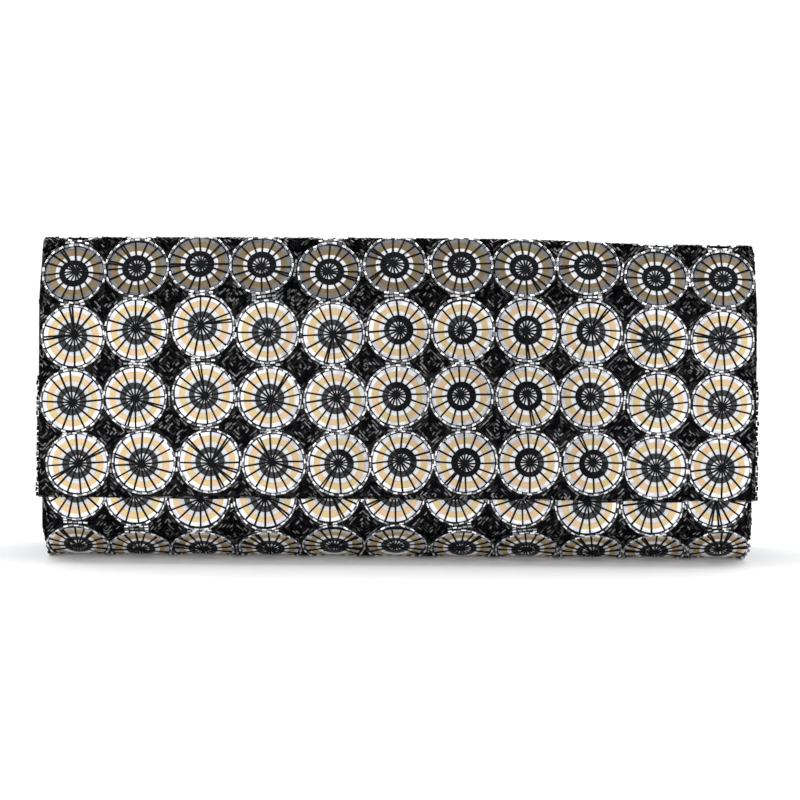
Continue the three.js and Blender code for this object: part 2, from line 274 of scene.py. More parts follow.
# How far each medallion lies from its regular place, in mm: to the right, and up the cloth.
WANDER = {
    "hem": (
        [2.1, 2.5, 3.3, 2.9, 2.9, 2.1, 1.7, 0.8, 0.4, -0.4, -0.8],
        [-1.1, -0.2, 0.5, -0.2, -0.4, 0.5, 0.6, 0.7, 0.5, -0.8, -1.1],
    ),
    "middle": (
        [-0.4, -1.2, 0.4, 0.8, 1.2, 0.0, -0.4, 0.0, -0.8, 0.4, 0.0],
        [-1.9, -0.4, 1.0, -0.4, -0.8, 0.8, 1.1, 1.2, 1.2, -1.0, -1.4],
    ),
    "upper": (
        [0.0, -0.8, 0.0, -0.4, 0.0, 0.0, 0.0, -0.4, -0.8, -0.8, 0.0],
        [-2.6, 0.4, 2.2, 0.0, -0.7, 1.1, 1.3, 1.6, 1.3, -1.0, -1.6],
    ),
    "shoulder": (
        [-0.5, -1.5, -2.2, -3.2, -2.0, -1.5, -0.5, -1.5, -1.5, -0.3, 0.5],
        [-2.6, -0.1, 2.0, 1.5, -1.3, 1.8, 2.0, 1.1, 2.8, -1.7, -1.9],
    ),
    "top": (
        [0.6, -0.8, 0.4, -0.5, -0.9, 0.7, 0.2, -0.6, 0.5, 0.9, -0.3],
        [-2.2, -0.4, 1.0, 0.3, -1.2, 0.8, 1.2, 0.4, 1.4, -2.0, -2.4],
    ),
    "back": (
        [0.4, -0.6, 0.8, 0.2, -0.7, 0.3, -0.2, 0.9, -0.5, 0.1, -0.4],
        [0.8, -0.3, -0.9, 0.4, 1.0, -0.2, -1.1, 0.6, 0.2, -0.7, 0.9],
    ),
    "pocket": (
        [0.8, -1.2, -2.0, -1.0, -1.2, -1.3, -2.2, -1.9, -1.5, -1.3, -1.4],
        [2.4, 0.3, -1.3, -1.2, 1.3, 1.3, 1.5, 0.6, -3.1, -2.5, 0.8],
    ),
    "base": (
        [0.4, -0.4, -1.0, 0.6, 0.6, -0.4, 0.8, 0.9, 1.4, 1.0, 1.2],
        [1.3, -1.6, -1.2, -0.8, 2.0, 2.3, 0.4, -0.5, -1.9, -1.5, 0.7],
    ),
}


def row(run, wander, up=1, share=1.0, bends=0):
    """The medallions of one row; up is -1 where the wander is turned over, and share scales it."""
    shift_x, shift_s = (np.array(values) * share for values in WANDER[wander])
    return {"x": column_x + shift_x, "s": run + up * shift_s, "bends": np.full(COLUMNS, bends)}


flap_rows = [
    row(EDGE_MARGIN + front_pitch * 0.5, "hem"),
    row(EDGE_MARGIN + front_pitch * 1.5, "middle"),
    row(EDGE_MARGIN + front_pitch * 2.5, "upper"),
    row((cloth.at["shoulder"] + cloth.at["top_front"]) / 2, "shoulder"),
    row((cloth.at["top_front"] + cloth.at["top_back"]) / 2, "top"),
]
back_rows = [
    row(seam + back_pitch * (k + 0.5), "back", up=(-1) ** k, share=0.8) for k in range(BACK_ROWS)
] + [row(cloth.at["corner_back"] + back_pitch / 2, "back", share=0.6, bends=1)]
front_rows = [
    row(cloth.at["corner_front"] - back_pitch / 2, "base", bends=-1),
    row(cloth.at["corner_front"] + back_pitch / 2, "pocket"),
]


# Meshes from arrays


def array_mesh(name, vertices, groups, materials):
    """A mesh in groups of (faces, smooth, material number), with the faces an array of corners."""
    mesh = bpy.data.meshes.new(name)
    mesh.vertices.add(len(vertices))
    mesh.vertices.foreach_set("co", np.ascontiguousarray(vertices * MM, dtype=np.float32).ravel())
    corners_of = np.concatenate([faces.ravel() for faces, _, _ in groups]).astype(np.int32)
    sizes = np.concatenate([np.full(len(faces), faces.shape[1]) for faces, _, _ in groups])
    starts = np.concatenate([[0], np.cumsum(sizes)[:-1]])
    mesh.loops.add(len(corners_of))
    mesh.loops.foreach_set("vertex_index", corners_of)
    mesh.polygons.add(len(sizes))
    mesh.polygons.foreach_set("loop_start", starts.astype(np.int32))
    smooth = np.concatenate([np.full(len(faces), flag) for faces, flag, _ in groups])
    number = np.concatenate([np.full(len(faces), which) for faces, _, which in groups])
    mesh.polygons.foreach_set("use_smooth", smooth)
    for material in materials:
        mesh.materials.append(material)
    mesh.polygons.foreach_set("material_index", number.astype(np.int32))
    mesh.update(calc_edges=True)
    edge_of = np.empty(len(corners_of), np.int32)
    mesh.loops.foreach_get("edge_index", edge_of)
    sharp = np.zeros(len(mesh.edges), bool)
    sharp[edge_of[np.repeat(~smooth, sizes)]] = True
    mesh.attributes.new("sharp_edge", "BOOLEAN", "EDGE").data.foreach_set("value", sharp)
    return mesh


def piece(name, vertices, groups, materials, replaced=(), vary=None):
    """A piece of the bag; vary is a number for every vertex, which picks a bead's shade, a painted brightness
    standing for how much it glints.
    """
    mesh = array_mesh(name, vertices, groups, materials)
    if vary is not None:
        mesh.attributes.new("vary", "FLOAT", "POINT").data.foreach_set("value", vary.astype(np.float32))
    obj = bpy.data.objects.new(name, mesh)
    bpy.context.scene.collection.objects.link(obj)
    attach(obj, BODY)
    if replaced:
        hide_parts(*replaced)
    return obj


def rings_of(count, rings, sides):
    """Quads that join each of count bodies' rings to the next, every ring having as many sides."""
    ring, side = np.meshgrid(np.arange(rings - 1), np.arange(sides), indexing="ij")
    following = (side + 1) % sides
    below, above = ring * sides, (ring + 1) * sides
    quad = np.stack([below + side, below + following, above + following, above + side], axis=-1)
    return (np.arange(count)[:, None, None] * rings * sides + quad.reshape(-1, 4)).reshape(-1, 4)


def caps_of(count, rings, sides):
    """The two end faces of each body."""
    start = np.arange(count)[:, None] * rings * sides
    first = start + np.arange(sides)[::-1]
    last = start + (rings - 1) * sides + np.arange(sides)
    return np.concatenate([first, last])


def tubes(points, up, radius, sides, flatness=1.0):
    """Closed tubes through points (count, stations, 3); up is roughly the way out of the cloth.

    radius holds a column for every station, or one for them all.
    """
    count, stations = points.shape[:2]
    along = unit(np.gradient(points, axis=1))
    side = unit(np.cross(along, up[:, None, :]))
    over = np.cross(side, along)
    angle = 2 * np.pi * (np.arange(sides) + 0.5) / sides
    spread = (
        np.cos(angle)[None, None, :, None] * side[:, :, None, :]
        + flatness * np.sin(angle)[None, None, :, None] * over[:, :, None, :]
    )
    reach = np.broadcast_to(radius, (count, stations))[:, :, None, None]
    vertices = (points[:, :, None, :] + spread * reach).reshape(-1, 3)
    return vertices, rings_of(count, stations, sides), caps_of(count, stations, sides)


def bugles(name, beads, radius, height, lift_spread, sides, materials):
    """Short glass tubes that lie on the cloth: beads holds x, s, angle, length and shade in columns; the shade
    is a painted brightness standing for how much the bead glints.
    """
    x, s, angle, length, shade = beads.T
    dx, ds = np.cos(angle) * length / 2, np.sin(angle) * length / 2
    lift = height + random.uniform(0, lift_spread, (2, len(x)))
    ends = np.stack([place(x - dx, s - ds, lift[0]), place(x + dx, s + ds, lift[1])], axis=1)
    thick = radius * random.uniform(0.92, 1.06, (len(x), 1))
    vertices, walls, caps = tubes(ends, out_of_cloth(x, s), thick, sides)
    vary = np.repeat(shade, 2 * sides)
    return piece(name, vertices, [(walls, True, 0), (caps, False, 1)], materials, vary=vary)


# Materials


def new_material(name, colour, roughness, metallic=0.0, **sockets):
    material = bpy.data.materials.new(name)
    material.use_nodes = True
    shader = material.node_tree.nodes["Principled BSDF"]
    shader.inputs["Base Color"].default_value = (*colour, 1)
    shader.inputs["Roughness"].default_value = roughness
    shader.inputs["Metallic"].default_value = metallic
    for socket, value in sockets.items():
        shader.inputs[socket.replace("_", " ")].default_value = value
    return material


def add(material, kind, **settings):
    node = material.node_tree.nodes.new(kind)
    for key, value in settings.items():
        if key in node.inputs:
            node.inputs[key].default_value = value
        else:
            setattr(node, key, value)
    return node


def link(material, start, output, end, socket):
    material.node_tree.links.new(start.outputs[output], end.inputs[socket])


def shader_of(material):
    return material.node_tree.nodes["Principled BSDF"]


def object_place(material, scale=(1, 1, 1)):
    """Object coordinates in units of 1/scale metres."""
    where = add(material, "ShaderNodeTexCoord")
    mapping = add(material, "ShaderNodeMapping")
    mapping.inputs["Scale"].default_value = scale
    link(material, where, "Object", mapping, "Vector")
    return mapping


def bumped(material, sources, distance):
    """Chains bumps from (node, output, strength) onto the shader's normal."""
    last = None
    for node, output, strength in sources:
        bump = add(material, "ShaderNodeBump", Strength=strength, Distance=distance)
        link(material, node, output, bump, "Height")
        if last:
            link(material, last, "Normal", bump, "Normal")
        last = bump
    link(material, last, "Normal", shader_of(material), "Normal")


def noise(material, where, scale, detail=2.0, roughness=0.5):
    node = add(material, "ShaderNodeTexNoise", Scale=scale, Detail=detail, Roughness=roughness)
    link(material, where, "Vector", node, "Vector")
    return node


def bands(material, where, direction, scale):
    """Even stripes across a direction, such as the threads of a weave."""
    node = add(material, "ShaderNodeTexWave", wave_type="BANDS", bands_direction=direction, Scale=scale)
    link(material, where, "Vector", node, "Vector")
    return node


def tinted(material, source, output, stops):
    """A base colour that a node's output picks from (place, colour) stops."""
    node = add(material, "ShaderNodeValToRGB")
    elements = node.color_ramp.elements
    while len(elements) < len(stops):
        elements.new(0.5)
    for element, (spot, colour) in zip(elements, stops):
        element.position = spot
        element.color = (*colour, 1)
    link(material, source, output, node, "Fac")
    link(material, node, "Color", shader_of(material), "Base Color")


def roughened(material, source, output, low, high):
    spread = add(material, "ShaderNodeMapRange")
    spread.inputs["To Min"].default_value = low
    spread.inputs["To Max"].default_value = high
    link(material, source, output, spread, "Value")
    link(material, spread, "Result", shader_of(material), "Roughness")


def woven(name, colour, pale, sheen, weave=0.3):
    """Plain woven cloth: two crossed sets of threads, with slubs."""
    material = new_material(
        name,
        colour,
        roughness=0.72,
        Sheen_Weight=sheen,
        Sheen_Roughness=0.45,
        Specular_IOR_Level=0.3,
    )
    where = object_place(material)
    sources = []
    for direction in ("X", "Z"):
        threads_of = bands(material, where, direction, scale=180.0)
        threads_of.inputs["Distortion"].default_value = 0.6
        sources.append((threads_of, "Fac", weave))
    slubs = noise(material, where, scale=260.0, detail=4.0)
    sources.append((slubs, "Fac", 0.4))
    bumped(material, sources, distance=0.0004)
    tinted(material, slubs, "Fac", [(0.3, colour), (0.75, pale)])
    roughened(material, slubs, "Fac", low=0.6, high=0.85)
    return material


def sequin(name, tints, roughness, metallic, ripple):
    """Flat film sequins: a soft ripple from the pull of the threads, patches of tint and a fine grain."""
    material = new_material(name, tints[0], roughness, metallic)
    where = object_place(material)
    broad = noise(material, where, scale=170.0, detail=1.0)
    patches = noise(material, where, scale=260.0, detail=0.0)
    grain = noise(material, where, scale=2600.0, detail=2.0)
    bumped(material, [(broad, "Fac", ripple), (grain, "Fac", 0.002)], distance=0.0006)
    tinted(material, patches, "Fac", list(zip(np.linspace(0.36, 0.64, len(tints)), tints)))
    roughened(material, grain, "Fac", low=roughness * 0.85, high=roughness * 1.15)
    return material


def glass_bead(name, tints, roughness, metallic, **sockets):
    """Bugle beads, each with its own painted shade that stands for how much it glints, with fine lines along
    the cut glass.
    """
    material = new_material(name, tints[0][1], roughness, metallic, **sockets)
    each = add(material, "ShaderNodeAttribute", attribute_name="vary")
    tinted(material, each, "Fac", tints)
    streaks = noise(material, object_place(material), scale=1500.0, detail=2.0)
    bumped(material, [(streaks, "Fac", 0.12)], distance=0.0003)
    roughened(material, streaks, "Fac", low=roughness * 0.7, high=roughness * 1.4)
    return material


def painted_hole_shade(name):
    """The dull open end of a bead, painted near-black for the shade inside its hole and the black thread
    through it.
    """
    material = new_material(name, (0.01, 0.01, 0.011), roughness=0.6)
    pits = noise(material, object_place(material), scale=1800.0)
    bumped(material, [(pits, "Fac", 0.3)], distance=0.0003)
    return material


def twisted_thread(name):
    """Matt black thread, its twist showing as slanting bands."""
    material = new_material(name, (0.002, 0.002, 0.003), roughness=0.8, Specular_IOR_Level=0.2)
    twist = bands(material, object_place(material), "DIAGONAL", scale=900.0)
    bumped(material, [(twist, "Fac", 0.5)], distance=0.0002)
    return material


def brushed_metal(name):
    """Steel brushed one way, with the strokes stretched along Y."""
    material = new_material(name, (0.5, 0.5, 0.52), roughness=0.35, metallic=1.0)
    strokes = noise(material, object_place(material, (40, 1, 40)), scale=300.0, detail=3.0)
    bumped(material, [(strokes, "Fac", 0.2)], distance=0.0002)
    roughened(material, strokes, "Fac", low=0.25, high=0.45)
    return material


black_cloth = woven("black_cloth", (0.004, 0.004, 0.005), pale=(0.01, 0.01, 0.011), sheen=0.05)
black_satin = woven("black_satin", (0.005, 0.005, 0.006), pale=(0.014, 0.014, 0.016), sheen=0.1, weave=0.08)
silver = sequin(
    "silver_film",
    [(0.84, 0.85, 0.85), (0.73, 0.74, 0.77), (0.6, 0.6, 0.67)],
    roughness=0.25,
    metallic=1.0,
    ripple=0.42,
)
gold = sequin(
    "gold_film",
    [(0.62, 0.49, 0.255), (0.65, 0.485, 0.275), (0.68, 0.475, 0.3)],
    roughness=0.31,
    metallic=1.0,
    ripple=0.26,
)
white = sequin(
    "white_film",
    [(0.75, 0.775, 0.79), (0.78, 0.775, 0.785)],
    roughness=0.35,
    metallic=0.0,
    ripple=0.3,
)
gloss_black = sequin(
    "gloss_black_film",
    [(0.003, 0.0035, 0.006), (0.005, 0.006, 0.009)],
    roughness=0.07,
    metallic=0.0,
    ripple=0.15,
)
# Painted glints: the silver beads' shades run from dark grey, for unlit beads, to white, for glinting ones.
silver_glass = glass_bead(
    "silver_lined_glass",
    [(0.0, (0.06, 0.06, 0.06)), (0.45, (0.42, 0.43, 0.45)), (0.6, (0.8, 0.81, 0.83)), (1.0, (1.0, 1.0, 1.0))],
    roughness=0.24,
    metallic=0.92,
)
# Painted glints: most black beads keep a near-black shade and a few get a far more mirror-like one, standing
# for beads that glint.
black_glass = glass_bead(
    "black_glass",
    [
        (0.0, (0.002, 0.002, 0.003)),
        (0.5, (0.006, 0.006, 0.007)),
        (0.65, (0.045, 0.045, 0.045)),
        (1.0, (0.2, 0.2, 0.2)),
    ],
    roughness=0.13,
    metallic=1.0,
    Specular_Tint=(0.15, 0.15, 0.15, 1),
)
# The bead ends are painted near-black for the shade in their holes, together with the black thread through
# them.
bead_hole_shade = painted_hole_shade("bead_hole_shade")
thread_black = twisted_thread("black_thread")
brushed_steel = brushed_metal("brushed_steel")


# Cloth panels

PANEL_COLUMNS = 81
END_CLEAR = 0.5  # no row of points lies nearer than this to a panel's end
SKIN = 0.02  # the cloth's face lies this far under the beads' ground


def wall_faces(index):
    """The outer faces of a wall over a grid of vertex numbers, and its hem; the inner grid comes next."""
    outer = np.stack([index[:-1, :-1], index[1:, :-1], index[1:, 1:], index[:-1, 1:]], axis=-1).reshape(-1, 4)
    border = np.concatenate([index[:, 0], index[-1, 1:], index[-2::-1, -1], index[0, -2:0:-1]])
    following = np.roll(border, -1)
    hem = np.stack([following, border, border + index.size, following + index.size], axis=-1)
    return outer, hem


def panel(name, node, start, stop, half, wall, material):
    """A wall of cloth between two runs, closed round its edges, with its hems rounded."""
    across = np.linspace(-half, half, PANEL_COLUMNS)
    along = cloth.run[(cloth.run > start + END_CLEAR) & (cloth.run < stop - END_CLEAR)]
    x, s = np.meshgrid(across, np.concatenate([[start], along, [stop]]), indexing="ij")
    faces_at = [place(x, s, depth, half).reshape(-1, 3) for depth in (-SKIN, -wall)]
    outer, hem = wall_faces(np.arange(x.size).reshape(x.shape))
    inner = outer[:, [0, 3, 2, 1]] + x.size
    groups = [(faces, True, 0) for faces in (outer, inner, hem)]
    obj = piece(name, np.concatenate(faces_at), groups, [material], [node])
    bevel = obj.modifiers.new("hem", "BEVEL")
    bevel.width = wall * 0.3 * MM
    bevel.segments = 3
    bevel.angle_limit = math.radians(60)
    return obj


flap_cloth = panel(
    "flap_cloth",
    "flap_panel",
    start=0.0,
    stop=seam,
    half=FLAP_HALF,
    wall=FLAP_WALL,
    material=black_cloth,
)
pocket_cloth = panel(
    "pocket_cloth",
    "pocket_panel",
    start=pocket_top,
    stop=cloth.run[-1],
    half=POCKET_HALF,
    wall=POCKET_WALL,
    material=black_cloth,
)

GUSSET_WALL = 1.6
GUSSET_INSET = 1.6
GUSSET_FACE = 0.4  # from the inset to its outside
GUSSET_FOLD = 9.0
GUSSET_TUCK = 0.1  # its edge is sewn this far into the pocket's wall
GUSSET_LIFT = 0.02  # its lower edge lies this far over the inside of the base
GUSSET_GRID = 61
PLEATS = 5
PLEAT_HEIGHT = 0.6


def gusset(name, node, end):
    """A soft end of the pocket that folds inwards, with a few fine pleats beside the fold."""
    inset = POCKET_WALL - GUSSET_TUCK
    y, z = cloth.y - cloth.ny * inset + SHIFT_Y, cloth.z - cloth.nz * inset + SHIFT_Z
    base = cloth.run > base_middle
    back = (cloth.run > seam) & ~base
    low, high = z[base].min() + GUSSET_LIFT, cad(node, 1, 2)
    share = np.linspace(0, 1, GUSSET_GRID)
    t, level = np.meshgrid(share, share, indexing="ij")
    height = low + (high - low) * level
    front_y = np.interp(height, z[base], y[base])
    back_y = np.interp(height, z[back][::-1], y[back][::-1])
    depth = front_y + (back_y - front_y) * t
    fold = GUSSET_FOLD * level * np.sin(np.pi * t) ** 2
    pleat_lean = 1.6 * np.sin(4 * level)
    pleats = PLEAT_HEIGHT * level * np.sin(np.pi * t) * np.sin(2 * PLEATS * np.pi * t + pleat_lean)
    face = POCKET_HALF - GUSSET_INSET
    outer, inner = (
        np.stack([end * (face - under - fold - pleats), depth, height], axis=-1).reshape(-1, 3)
        for under in (GUSSET_FACE, GUSSET_WALL)
    )
    faces, hem = wall_faces(np.arange(t.size).reshape(t.shape))
    groups = [faces, faces[:, ::-1] + t.size, hem]
    if end < 0:
        groups = [group[:, ::-1] for group in groups]
    obj = piece(
        name,
        np.concatenate([outer, inner]),
        [(group, True, 0) for group in groups],
        [black_satin],
        [node],
    )


gusset("left_gusset_cloth", "left_gusset", -1)
gusset("right_gusset_cloth", "right_gusset", 1)


# Sequins

TILT = 0.019  # radians, the most that a stack of sequins leans
DOME = 0.2  # the threads pull a sequin's film down by this much at the ring of beads
SLIP = 0.22  # how far one sequin lies off the middle of its stack
OFF_COLUMN = 0.15  # how far a whole medallion lies off its place, at the most

SEQUIN_FINISH = {
    "silver": (silver, "silver_sequin"),
    "gold": (gold, "gold_sequin"),
    "white": (white, "white_sequin"),
    "black": (gloss_black, "black_sequin"),
    "pearl": (white, "white_sequin"),
}


def domed(height, lean_x, lean_s, dx, ds):
    """The height of a place on a leaning, slightly domed stack of sequins."""
    return height + lean_x * dx + lean_s * ds - DOME * (dx**2 + ds**2) / RING_RADIUS**2


def all_discs(rows, tilt):
    """The medallions of several rows, in columns x, s, lean x, lean s and the side that bends."""
    x, s, bends = (np.concatenate([r[key] for r in rows]) for key in ("x", "s", "bends"))
    lean = random.uniform(-tilt, tilt, (len(x), 2))
    off = random.uniform(-OFF_COLUMN, OFF_COLUMN, len(x))
    return np.column_stack([x + off, s, lean * (bends[:, None] == 0), bends])


def film_rings(discs, inner, outer, low, high, segments):
    """One flat ring of film on each medallion, as vertices and groups of faces."""
    angle = 2 * np.pi * np.arange(segments) / segments
    radius = np.array([outer, outer, inner, inner])[None, :, None]
    height = np.array([low, high, high, low])[None, :, None]
    x, s, lean_x, lean_s, bends = (column[:, None, None] for column in discs.T)
    slip = random.uniform(-SLIP, SLIP, (2, len(discs), 1, 1))
    dx = radius * np.cos(angle) + slip[0]
    ds = radius * np.sin(angle) + slip[1]
    over = domed(height, lean_x, lean_s, dx, ds)
    vertices = place_flat(x + dx, s + ds, over, s, bends).reshape(-1, 3)
    rim, top, bore = np.moveaxis(rings_of(len(discs), 4, segments).reshape(len(discs), 3, segments, 4), 1, 0)
    first, last = rim[:, :, 0], bore[:, :, 3]
    under = np.stack([last, np.roll(last, -1, axis=1), np.roll(first, -1, axis=1), first], axis=-1)
    sides = np.concatenate([part.reshape(-1, 4) for part in (rim, bore, under)])
    return vertices, [(top.reshape(-1, 4)[:, ::-1], False, 0), (sides[:, ::-1], False, 0)]


def stack(field, discs, node):
    """Five flat sequins to a medallion, the largest at the bottom; the gold ones stand for the node."""
    for kind, *sizes in SEQUINS:
        vertices, groups = film_rings(discs, *sizes)
        material, slot = SEQUIN_FINISH[kind]
        replaced = [node] if kind == "gold" else ()
        piece(f"{field}_{kind}_sequins", vertices, groups, [material], replaced)


# Beads in general


def clear_of(beads, discs, reach):
    """Those beads whose middle and places near both ends lie outside every medallion."""
    x, s, angle, length = beads.T[:4]
    free = np.ones(len(beads), bool)
    for end in (-0.42, 0.0, 0.42):
        px, ps = x + np.cos(angle) * length * end, s + np.sin(angle) * length * end
        for cx, cs, *_ in discs:
            free &= np.hypot(px - cx, ps - cs) > reach
    return beads[free]


def apart_from(beads, others, gap):
    """Those beads whose middles are at least a gap from every other bead's."""
    keep = np.ones(len(beads), bool)
    block = 400
    for start in range(0, len(beads), block):
        part = beads[start : start + block]
        distance = np.hypot(part[:, None, 0] - others[:, 0], part[:, None, 1] - others[:, 1])
        keep[start : start + block] = distance.min(axis=1) > gap
    return beads[keep]


def jittered(beads, spread=0.2, turn=0.17):
    """The beads moved a little at random, each given a random shade, a painted brightness standing for how
    much it glints.
    """
    out = np.column_stack([beads, random.random(len(beads))])
    out[:, :2] += random.uniform(-spread, spread, (len(out), 2))
    out[:, 2] += random.uniform(-turn, turn, len(out))
    out[:, 3] *= random.uniform(0.86, 1.02, len(out))
    return out


# Silver beads

BRIDGE_ABOVE = 4.2  # how far silver beads fill the wedges beside the place where two rings meet
BRIDGE_BESIDE = 3.2
BRIDGE_ROW = 1.05  # from one line of these beads to the next
BRIDGE_STEP = 2.1  # from one bead to the next in a line
BRIDGE_LIMIT = 1.25  # in pitches; rings further apart than this aren't bridged


def ring_beads(discs):
    """The silver beads round each medallion, without those that would lie in a neighbour's."""
    kept = np.empty((0, 5))
    bright = np.arange(RING_BEADS) % 2 == 0
    even = 2 * np.pi * np.arange(RING_BEADS) / RING_BEADS
    for x, s, *_ in discs:
        turn = random.uniform(0, 2 * np.pi)
        angle = turn + even + random.uniform(-0.012, 0.012, RING_BEADS)
        radius = RING_RADIUS + random.uniform(-0.12, 0.16, RING_BEADS)
        along_ring = angle + np.pi / 2 + random.uniform(-0.12, 0.12, RING_BEADS)
        # Painted glints: every other bead is painted bright and made a little longer, as if it glinted, and
        # the rest are painted dim, as if unlit.
        length = BEAD_LENGTH * random.uniform(0.92, 1.04, RING_BEADS) + 0.15 * bright
        painted_glint_shade = random.uniform(0.6, 1.0, RING_BEADS)
        painted_unlit_shade = random.uniform(0.0, 0.45, RING_BEADS)
        shade = np.where(bright, painted_glint_shade, painted_unlit_shade)
        beads = np.column_stack(
            [x + radius * np.cos(angle), s + radius * np.sin(angle), along_ring, length, shade]
        )
        near = kept[np.hypot(kept[:, 0] - x, kept[:, 1] - s) < 2 * RING_RADIUS]
        if len(near):
            gap = np.hypot(beads[:, None, 0] - near[:, 0], beads[:, None, 1] - near[:, 1]).min(axis=1)
            beads = beads[gap > 2 * BEAD_RADIUS * 0.9]
        kept = np.vstack([kept, beads])
    return kept


def neighbours(rows):
    """Pairs of medallions side by side or one above the other, each with how far beads bridge them."""
    pairs = []
    for r, this in enumerate(rows):
        for c in range(COLUMNS):
            here = (this["x"][c], this["s"][c])
            if c + 1 < COLUMNS:
                pairs.append((*here, this["x"][c + 1], this["s"][c + 1], BRIDGE_BESIDE))
            if r + 1 < len(rows):
                pairs.append((*here, rows[r + 1]["x"][c], rows[r + 1]["s"][c], BRIDGE_ABOVE))
    return pairs


def bridge_beads(rows, discs):
    """Silver beads in the wedges between a medallion and its neighbours above and beside."""
    beads = []
    for ax, a_s, bx, b_s, reach in neighbours(rows):
        if math.hypot(bx - ax, b_s - a_s) > BRIDGE_LIMIT * PITCH:
            continue
        mid_x, mid_s = (ax + bx) / 2, (a_s + b_s) / 2
        way = math.atan2(b_s - a_s, bx - ax)
        for across in np.arange(-reach, reach + 0.1, BRIDGE_STEP):
            for along in np.arange(-2 * BRIDGE_ROW, 2 * BRIDGE_ROW + 0.1, BRIDGE_ROW):
                beads.append(
                    [
                        mid_x + along * math.cos(way) - across * math.sin(way),
                        mid_s + along * math.sin(way) + across * math.cos(way),
                        way + math.pi / 2,
                        BEAD_LENGTH * 0.95,
                    ]
                )
    return clear_of(np.array(beads), discs, CLEAR_OF_RING - 0.15)


# Black bugle beads

BED_EDGE = 0.7  # the beads' middles keep this far from the sides and the end of the cloth
BED_START = 0.9
BED_APART = 1.15  # from the middle of a bridging silver bead
EDGE_OVER = 0.35  # the edge lines come this much nearer to a ring
NEST_REACH = 0.75 * PITCH
UPPER_FRONT = 0.6 * cloth.at["shoulder"]  # from this run on, the beads of the side edges draw in a little
DRAWN_IN = 0.9


def nest_beads(cx, cs):
    """Nested squares of bugles turned by 45 degrees round a point."""
    beads = []
    for ring in range(int(NEST_REACH / BUGLE_ROW) + 1):
        reach = (ring + 0.5) * BUGLE_ROW
        steps = max(1, round(2 * reach / BUGLE_STEP))
        spots = (np.arange(steps) + 0.5) / steps * 2 * reach - reach
        for side in range(4):
            turn = math.pi / 4 + side * math.pi / 2
            beads.append(
                np.column_stack(
                    [
                        cx + reach * math.cos(turn) - spots * math.sin(turn),
                        cs + reach * math.sin(turn) + spots * math.cos(turn),
                        np.full(steps, turn + math.pi / 2),
                        np.full(steps, min(BUGLE_LENGTH, 2 * reach / steps * 0.95)),
                    ]
                )
            )
    return np.vstack(beads)


def nest_centres(rows):
    """The middles of the gaps between four medallions, with one more row and column all round."""
    rows = sorted(rows, key=lambda r: r["s"].mean())
    pitch = np.diff([r["s"].mean() for r in rows]).mean()
    s_all = np.vstack([rows[0]["s"] - pitch, *[r["s"] for r in rows], rows[-1]["s"] + pitch])
    x_all = np.vstack([rows[0]["x"], *[r["x"] for r in rows], rows[-1]["x"]])
    x_all = np.hstack([x_all[:, :1] - PITCH, x_all, x_all[:, -1:] + PITCH])
    s_all = np.hstack([s_all[:, :1], s_all, s_all[:, -1:]])
    return [(v[:-1, :-1] + v[1:, :-1] + v[:-1, 1:] + v[1:, 1:]).ravel() / 4 for v in (x_all, s_all)]


def bed_beads(rows, start, stop, half):
    """Black bugles over the cloth between two runs: a nest of squares round each gap between medallions."""
    centre_x, centre_s = nest_centres(rows)
    beads = []
    for number, (cx, cs) in enumerate(zip(centre_x, centre_s)):
        nest = nest_beads(cx, cs)
        away = np.hypot(nest[:, :1] - centre_x, nest[:, 1:2] - centre_s)
        beads.append(nest[away.argmin(axis=1) == number])
    beads = np.vstack(beads)
    inside = (beads[:, 1] > start + BED_START) & (beads[:, 1] < stop - BED_EDGE)
    return beads[inside & (abs(beads[:, 0]) < half - BED_EDGE)]


def edging(start, stop, half, side=0.1):
    """Two lines of bugles along each side edge of a panel: at its outer corner, and just inside it."""
    runs = np.arange(start + 1.2, stop - 0.8, BUGLE_STEP * 0.96)
    beads = []
    for end in (-1, 1):
        for out, shift in ((side, 0.0), (-1.0, 0.5)):
            uneven = random.uniform(-0.3, 0.3, len(runs))
            beads.append(
                np.column_stack(
                    [
                        end * (half + out + uneven - DRAWN_IN * (runs > UPPER_FRONT)),
                        runs + shift * BUGLE_STEP,
                        np.full(len(runs), np.pi / 2),
                        np.full(len(runs), BUGLE_LENGTH * 0.95),
                    ]
                )
            )
    return np.vstack(beads)


def hem_beads(run, half):
    """A line of bugles along the bag at one run."""
    x = np.arange(-half + 1.4, half - 1.0, BUGLE_STEP * 0.98)
    return np.column_stack([x, np.full(len(x), run), np.zeros(len(x)), np.full(len(x), BUGLE_LENGTH * 0.97)])


# Threads

THREADS = 16
THREAD_RADIUS = 0.41
THREAD_FLATNESS = 0.5  # its height as a share of its width
THREAD_SIDES = 6
THREAD_END = 12.35  # from the medallion's middle to where a thread goes down at the rim
THREADS_DOUBLED = 0.08  # the share that have a second thread beside them, this far round
DOUBLE_ANGLE = 0.1
# Stations along a thread: share of the way from the knot to its end, height, and share of its thickness
THREAD_STATIONS = [(0.02, 1.1, 0.8), (0.3, 1.0, 1.0), (1.0, 0.74, 1.0), (1.022, 0.2, 0.9)]
KNOT_OFF = 1.1  # how far a knot lies off the middle, at the most
KNOT_RINGS = [(0.65, 0.8), (0.6, 1.12), (0.35, 1.22)]  # radius and height, from the lowest up
KNOT_SIDES = 10


